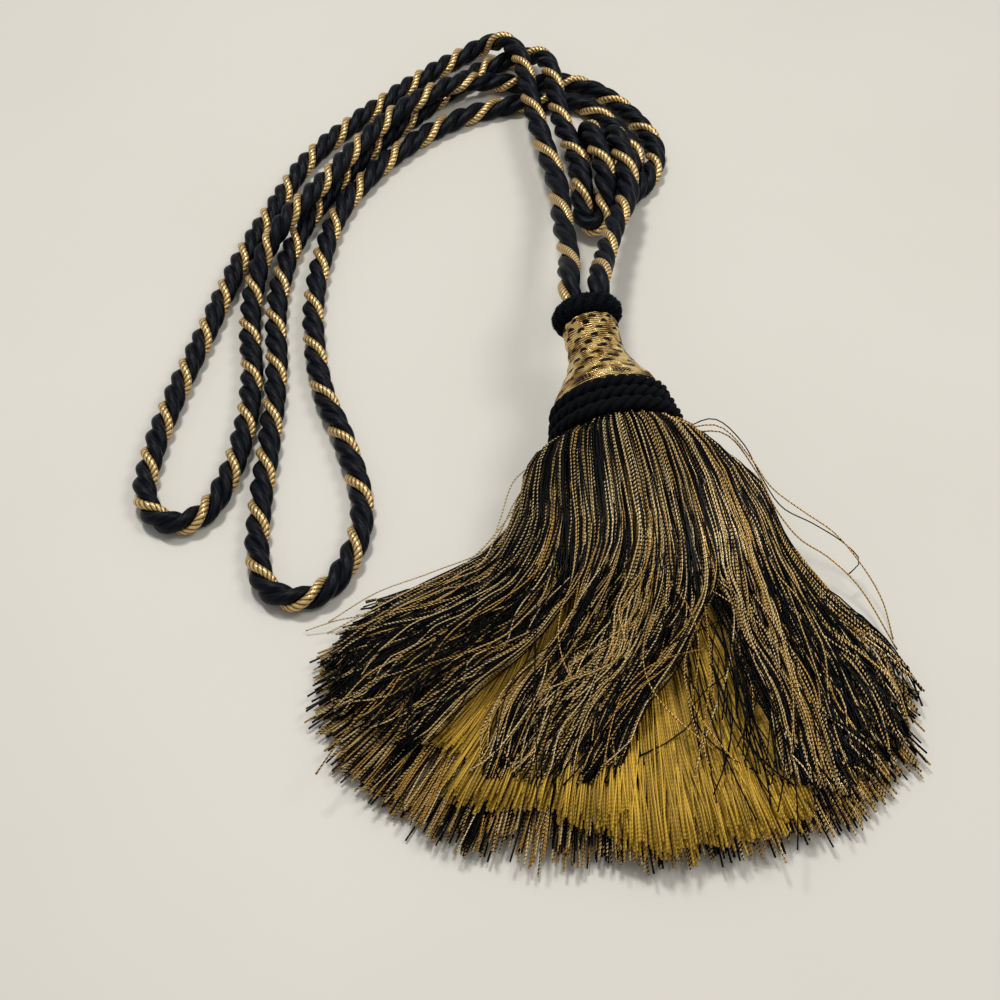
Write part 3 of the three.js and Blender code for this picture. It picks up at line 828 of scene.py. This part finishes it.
# The layer of yarns on the table, which fans out to its hem from the left side round to the right.
lower = {
    "hem": [
        (-100, -18), (-110, -38), (-103, -72), (-86, -90), (-60, -105), (-30, -111),
        (1, -113), (29, -111), (54, -106), (76, -98), (94, -84), (104, -60), (106, -42),
    ],
    "yarns": 1900,
    "points": 12,
    "depths": (0.7, 1),  # of the roots, as shares of the binding's radius
    "turns": (264, 96),  # degrees round the binding, at the hem's first end and its last
    "heights": (0.6 * mm, 9 * mm),
    "ragged": 0.01,  # share of their length
    "fallen": 0.3,  # share of the way at which they are down
    "tufts": 140,
    "golden": 0.7,
}

# The cotton core's tufts, described in the same way as the lower yarns.
cotton = {
    "hem": [
        (-74, -68), (-68, -82), (-56, -92), (-40, -97), (-22, -100), (-8, -105), (2, -108),
        (18, -111), (32, -108), (46, -106), (56, -100), (60, -86),
    ],
    "yarns": 950,
    "points": 16,
    "depths": (0.1, 0.5),
    "turns": (-80, 80),
    "heights": (7 * mm, 14 * mm),
    "ragged": 0.012,
    "fallen": 0.56,
    "tufts": 15,
    "yarnRadius": 0.42 * mm,
    "finish": {
        "Roughness": 0.6,
        "Sheen Weight": 0.1,
        "Sheen Roughness": 0.4,
        "Sheen Tint": linear("#ffe9a0"),
    },
    # dark to light, by each yarn's tone and by painted shade between the plies
    "colors": ("#7e5d04", "#dfb22c"),
    "twist": 1.6 * mm,
    "bump": 0.2 * mm,
}


def twoPly():
    # black satin twisted with gold metallic thread, or black alone: dark, with fine bright flecks
    material, tree, shader = makeMaterial("skirt yarn, black and gold", skirt["finish"])
    _, around, along = uvParts(tree)
    tone = addNode(tree, "Attribute", output="Fac", attribute_name="tone")
    phase = twist(tree, around, along, skirt["twist"], 1.0)
    shares = addNode(tree, "ValToRGB", [tone])
    shares.node.color_ramp.interpolation = "CONSTANT"
    stops = [(place, (share, share, share, 1)) for place, share in skirt["blackShares"]]
    setStops(shares.node.color_ramp, stops)
    reach, collarShade = skirt["shadeNearCollar"]
    # painted shade: a larger black share near the collar, where the yarns shade each other
    nearCollar = addNode(tree, "MapRange", [along, 0.0, reach, collarShade, 0.0])
    blackShare = addNode(tree, "ADD", [shares, nearCollar])
    gold = addNode(tree, "GREATER_THAN", [wave(tree, phase), blackShare])
    spread = addNode(tree, "MULTIPLY", [tone, 37.0])
    shade = addNode(tree, "FRACT", [spread])  # unlike from yarn to yarn
    mixed = []
    for dark, light in (skirt["blacks"], skirt["golds"]):
        ends = {0: shade, 6: linear(dark), 7: linear(light)}
        mixed.append(addNode(tree, "Mix", ends, 2, data_type="RGBA"))
    color = addNode(tree, "Mix", {0: gold, 6: mixed[0], 7: mixed[1]}, 2, data_type="RGBA")
    metallic = addNode(tree, "MULTIPLY", [gold, 0.25])
    plies = wave(tree, addNode(tree, "MULTIPLY", [phase, 2.0]))
    relief = addNode(tree, "Bump", {"Strength": 0.8, "Distance": skirt["bump"], "Height": plies})
    drive(tree, shader, {"Base Color": color, "Metallic": metallic, "Normal": relief})
    return material


def mustardCotton():
    # soft mercerised cotton: a low sheen, each yarn a little lighter or browner, and painted shade in the
    # grooves between the plies
    material, tree, shader = makeMaterial("cotton yarn, mustard", cotton["finish"])
    _, around, along = uvParts(tree)
    tone = addNode(tree, "Attribute", output="Fac", attribute_name="tone")
    plies = wave(tree, twist(tree, around, along, cotton["twist"], 1.0))
    toned = addNode(tree, "MULTIPLY", [tone, 0.65])
    # painted shade: the plies darken the colour between them
    shade = addNode(tree, "MULTIPLY_ADD", [plies, 0.35, toned])
    dark, light = map(linear, cotton["colors"])
    color = addNode(tree, "Mix", {0: shade, 6: dark, 7: light}, 2, data_type="RGBA")
    relief = addNode(tree, "Bump", {"Strength": 0.6, "Distance": cotton["bump"], "Height": plies})
    drive(tree, shader, {"Base Color": color, "Normal": relief})
    return material


# Yarns of one kind along their lines. Golden is the share of gold, for all of them or for each.
def makeYarns(name, lines, width, material, random, node, golden=0.5):
    count, points, _ = lines.shape
    place = lines[:, points // 2, 0] / skirt["clumpSize"]
    clump = np.sin(place * 2.3) + np.sin(place * 5.1 + 1)
    tones = np.clip(random.uniform(0, 1, count) + skirt["clumping"] * clump + golden - 0.5, 0, 1)
    radii = width * random.uniform(*skirt["uneven"], (count, 1)) * np.ones((1, points))
    radii[:, -1] *= skirt["endSize"]
    radii[:, 0] *= skirt["rootSize"]
    lines[..., 2] = np.maximum(lines[..., 2], radii * skirt["aboveTable"])
    obj = tubes(name, lines, radii, material, tones)
    closeEnds(obj)
    attach(obj, node)


# Smooth sideways wandering of each yarn, which grows from nothing at its root.
def wander(random, count, points, size, waves=2.0):
    t = np.linspace(0, 1, points)
    phase = random.uniform(0, fullTurn, (count, 1))
    speed = random.uniform(0.4, waves, (count, 1))
    return random.normal(0, size, (count, 1)) * np.sin(fullTurn * speed * t + phase) * t**0.8


# Where the upper yarns lie across the rows of the flow table, as they wave and cross, most in locks.
def slipAcross(random, place, lock, t):
    count, points = len(place), len(t)
    bunched = wander(random, skirt["locks"], points, 0.2, 1.8)[lock]
    bunched += random.normal(0, 0.17, skirt["locks"])[lock][:, None] * t**1.3
    single = wander(random, count, points, 0.25, 2.2) + wander(random, count, points, 0.045, 6.0)
    slip = place[:, None] + bunched + single + random.normal(0, 0.16, (count, 1)) * t**1.5
    return np.clip(slip, -0.15, len(topFlow) - 0.85)


def parted(random, place, slip, t):  # draws the yarns to the sides of the partings
    own = np.clip(np.floor(place).astype(int), 0, len(topFlow) - 2)
    crossing = random.uniform(0, 1, len(place)) < skirt["acrossPartings"]
    nearest = own + np.where(place - own < 0.5, 0.0, 1.0)
    gather = parting[own][:, None] * smoothstep(0.3, 0.52, t)
    slip = slip + gather * (nearest[:, None] + 0.6 * (slip - place[:, None]) - slip)
    edge = random.uniform(-0.05, 0.12, (len(place), 1))
    opening = 0.5 * smoothstep(0.3, 0.5, t)
    for middle in np.flatnonzero(parting > 0.5) + 0.5:
        before = (place < middle) & ~crossing
        after = (place >= middle) & ~crossing
        slip[before] = np.minimum(slip[before], middle - opening + edge[before])
        slip[after] = np.maximum(slip[after], middle + opening - edge[after])
    return slip


# Flat places in the flow: slip counts across its rows, and down goes from 0 to 1 along them.
def inFlow(slip, down):
    curves = np.stack([smoothCurve(row, 20) for row in topFlow]) * mm
    last = curves.shape[1] - 1
    row = np.clip(np.floor(slip).astype(int), 0, len(curves) - 2)
    f = (slip - row)[..., None]
    step = np.clip(down * last, 0, last)
    point = np.clip(np.floor(step).astype(int), 0, last - 1)
    g = (step - point)[..., None]
    here = curves[row, point] * (1 - g) + curves[row, point + 1] * g
    beside = curves[row + 1, point] * (1 - g) + curves[row + 1, point + 1] * g
    return here * (1 - f) + beside * f


def heightsOfUpper(root, turn, depth, t):
    heights = np.interp(t, np.linspace(0, 1, len(topHeights)), topHeights)
    bulge = 0.1 * np.sin(math.pi * np.clip(t * 3.2, 0, 1))
    sides, middle = skirt["mound"]
    mound = (sides + middle * np.cos(turn * 0.9))[:, None] * smoothstep(0.25, 0.8, t)
    layer = depth[:, None] * skirt["upperThickness"] * smoothstep(0.1, 0.5, t)
    return root[:, 2:3] * (heights + bulge) + mound + layer - skirt["endDrop"] * smoothstep(0.8, 1, t)


# The upper yarns follow the flow table from under the collar. Gives their lines and shares of gold.
def upperLines(random):
    count, points, locks = skirt["upperYarns"], skirt["upperPoints"], skirt["locks"]
    last = len(topFlow) - 1
    place = np.sort(random.uniform(0, last, count))  # across the table's rows
    own = random.uniform(0, 1, count)
    t = np.linspace(0, 1, points)
    lock = np.minimum((place / last * locks).astype(int), locks - 1)
    lockReach = random.normal(0.95, 0.04, locks)[lock]
    reach = np.clip(lockReach + random.uniform(-0.05, 0.05, count), 0.8, 1)[:, None]
    depth = 0.7 * random.uniform(0, 1, locks)[lock] + 0.3 * own  # 1 is the topmost
    slip = parted(random, place, slipAcross(random, place, lock, t), t)
    turn = skirt["upperTurn"] * (2 * place / last - 1)
    inner, more = skirt["upperDepths"]
    root = aroundAxis(skirt["bindingRadius"] * (inner + more * depth), skirt["bindingAlong"], turn)
    join = smoothstep(0, 0.22, t)[None, :, None]
    xy = root[:, None, :2] * (1 - join) + inFlow(slip, t * reach) * join
    z = heightsOfUpper(root, turn, depth, t) + wander(random, count, points, 0.5 * mm)
    arch = skirt["arch"] * np.sin(math.pi * np.clip(t / 0.2, 0, 1)) * random.uniform(0.3, 1.6, (count, 1))
    xy[..., 0] += arch * np.sin(turn)[:, None]
    z += arch * np.cos(turn)[:, None]
    golden = np.interp(place, np.arange(last + 1), goldShare)
    return np.concatenate([xy, z[..., None]], axis=2), golden


def alongHem(hem, place):  # points on a smooth curve through the hem's, at places from 0 to 1
    curve = smoothCurve(hem, 16) * mm
    at = np.linspace(0, 1, len(curve))
    return np.stack([np.interp(place, at, column) for column in curve.T], axis=-1)


# Yarns that fan straight out from the collar to a hem, gathered in tufts, with curled ends.
def fannedLines(random, fan):
    count, points, tufts = fan["yarns"], fan["points"], fan["tufts"]
    tuft = random.integers(0, tufts, count)
    middles = (np.arange(tufts) + 0.5 + random.uniform(-0.2, 0.2, tufts)) / tufts
    offset = random.normal(0, 0.38, count)  # from the tuft's middle, in tufts
    place = np.clip(middles[tuft] + offset / tufts, 0, 1)
    depth = random.uniform(0, 1, count)
    end = alongHem(fan["hem"], place)
    turn = np.radians(np.interp(place - 0.6 * offset / tufts, (0, 1), fan["turns"]))
    out = skirt["bindingRadius"] * np.interp(depth, (0, 1), fan["depths"])
    root = aroundAxis(out, skirt["bindingAlong"], turn)
    tuftReach = random.normal(0, 1.6 * fan["ragged"], tufts)[tuft][:, None]
    reach = 1 + tuftReach + random.normal(0, fan["ragged"], (count, 1)) - 0.01 * offset[:, None] ** 2
    t = np.linspace(0, 1, points)[None] * reach
    leftness = np.clip(1 - 2 * place, 0, 1)[:, None]
    swing = t - 0.14 * leftness * np.sin(math.pi * np.clip(t, 0, 1) ** 1.6)
    x = root[:, :1] + (end[:, :1] - root[:, :1]) * swing + wander(random, count, points, 0.9 * mm)
    y = root[:, 1:2] + (end[:, 1:] - root[:, 1:2]) * t + wander(random, count, points, 0.9 * mm)
    low, high = fan["heights"]
    dome = np.sin(math.pi * np.clip(place, 0.03, 0.97))[:, None] ** 0.5
    rest = low + (high - low) * depth[:, None] * dome
    fall = smoothstep(0, fan["fallen"], t)
    z = root[:, 2:3] * (1 - fall) + rest * fall
    curl = smoothstep(0.78, 1, t) * skirt["curl"]
    x += curl * random.normal(0, 1, (count, 1))
    y += 0.5 * curl * random.normal(0, 1, (count, 1))
    z += curl * random.uniform(0, 1, (count, 1))
    return np.stack([x, y, z], axis=2)


def routedLine(route):
    line = smoothCurve(route) * mm
    length = np.linalg.norm(np.diff(line, axis=0), axis=1).sum()
    return evenly(line, length / (skirt["loosePoints"] - 1))[0]


def bowedLine(start, way, bow):  # bow is how far it bends out midway, all in millimetres
    t = np.linspace(0, 1, skirt["loosePoints"])[:, None]
    return (np.array(start) + np.array(way) * t + np.array(bow) * np.sin(math.pi * t)) * mm


def crossingLine(random):  # a yarn that lies across the others
    start = (random.uniform(-40, 55), random.uniform(-45, 0), 24)
    turn = -0.35 + random.choice([-1, 1]) * random.uniform(0.2, 0.7)
    aside = random.uniform(-14, 14)
    reach = random.uniform(45, 85)
    cos, sin = math.cos(turn), math.sin(turn)
    return bowedLine(start, (sin * reach, -cos * reach, -8), (-cos * aside, -sin * aside, 5))


def strayLine(random):  # a yarn that lies over the cotton
    start = (random.uniform(24, 54), random.uniform(-50, 2), 21)
    slant = random.normal(0.12, 0.14)
    aside = random.uniform(-4, 7)
    reach = random.uniform(35, 70)
    return bowedLine(start, (slant * reach, -reach, -5), (aside, 0, 0))


def looseLines(random):
    lines = [routedLine(route) for route in looseRoutes]
    lines += [crossingLine(random) for _ in range(skirt["crossing"])]
    golden = [0.75] * len(lines) + [0.0] * skirt["strays"]
    lines += [strayLine(random) for _ in range(skirt["strays"])]
    return np.array(lines), np.array(golden)


def makeSkirt():
    random = np.random.default_rng(skirt["seed"])
    yarn = twoPly()
    radius = skirt["yarnRadius"]
    lines, golden = upperLines(random)
    makeYarns("upperYarns", lines, radius, yarn, random, "skirt_yarns", golden)
    lines = fannedLines(random, lower)
    makeYarns("lowerYarns", lines, radius, yarn, random, "skirt_yarns", lower["golden"])
    lines = fannedLines(random, cotton)
    soft = mustardCotton()
    makeYarns(
        "cottonYarns", lines, cotton["yarnRadius"], soft, random, "skirt_cotton_core"
    )
    lines, golden = looseLines(random)
    radius *= skirt["looseSize"]
    makeYarns("looseYarns", lines, radius, yarn, random, "skirt_yarns", golden)


makeSkirt()
print("skirt made")

studio = {
    "tableSize": 3.0,
    "tableFinish": {"Roughness": 0.55},
    "tableColors": ("#c5bfb2", "#cbc6ba"),
    "tableGrain": 6.0,  # to a metre
    "world": "#eef2f8",
    "worldStrength": 0.5,
    "lights": {  # place, size and power
        "key": ((-0.3, 0.5, 1.3), 0.25, 11.6),
        "fill": ((0.7, 0.1, 1.2), 0.45, 6.6),
    },
}


def paintedTable():
    # smooth painted board: soft shine, with a faint grain
    material, tree, shader = makeMaterial("table, pale paint", studio["tableFinish"])
    coords = addNode(tree, "TexCoord", output="Object")
    grain = addNode(tree, "TexNoise", {"Vector": coords, "Scale": studio["tableGrain"], "Detail": 3.0})
    dark, light = map(linear, studio["tableColors"])
    color = addNode(tree, "Mix", {0: grain, 6: dark, 7: light}, 2, data_type="RGBA")
    drive(tree, shader, {"Base Color": color})
    return material


def makeTable():
    mesh = bpy.data.meshes.new("table")
    build = bmesh.new()
    bmesh.ops.create_grid(build, x_segments=2, y_segments=2, size=studio["tableSize"] / 2)
    build.to_mesh(mesh)
    build.free()
    mesh.materials.append(paintedTable())
    placeObject("table", mesh)


def makeLights():
    for name, (place, size, power) in studio["lights"].items():
        data = bpy.data.lights.new(name, "AREA")
        data.size = size
        data.energy = power
        obj = placeObject(name, data)
        obj.location = place
        obj.rotation_euler = Vector(place).to_track_quat("Z", "Y").to_euler()


def makeWorld():
    world = bpy.data.worlds.new("studio")
    world.use_nodes = True
    background = world.node_tree.nodes["Background"]
    background.inputs["Color"].default_value = linear(studio["world"])
    background.inputs["Strength"].default_value = studio["worldStrength"]
    bpy.context.scene.world = world


makeTable()
makeLights()
makeWorld()
bpy.context.scene.view_settings.view_transform = "Standard"
print("table and lights made")
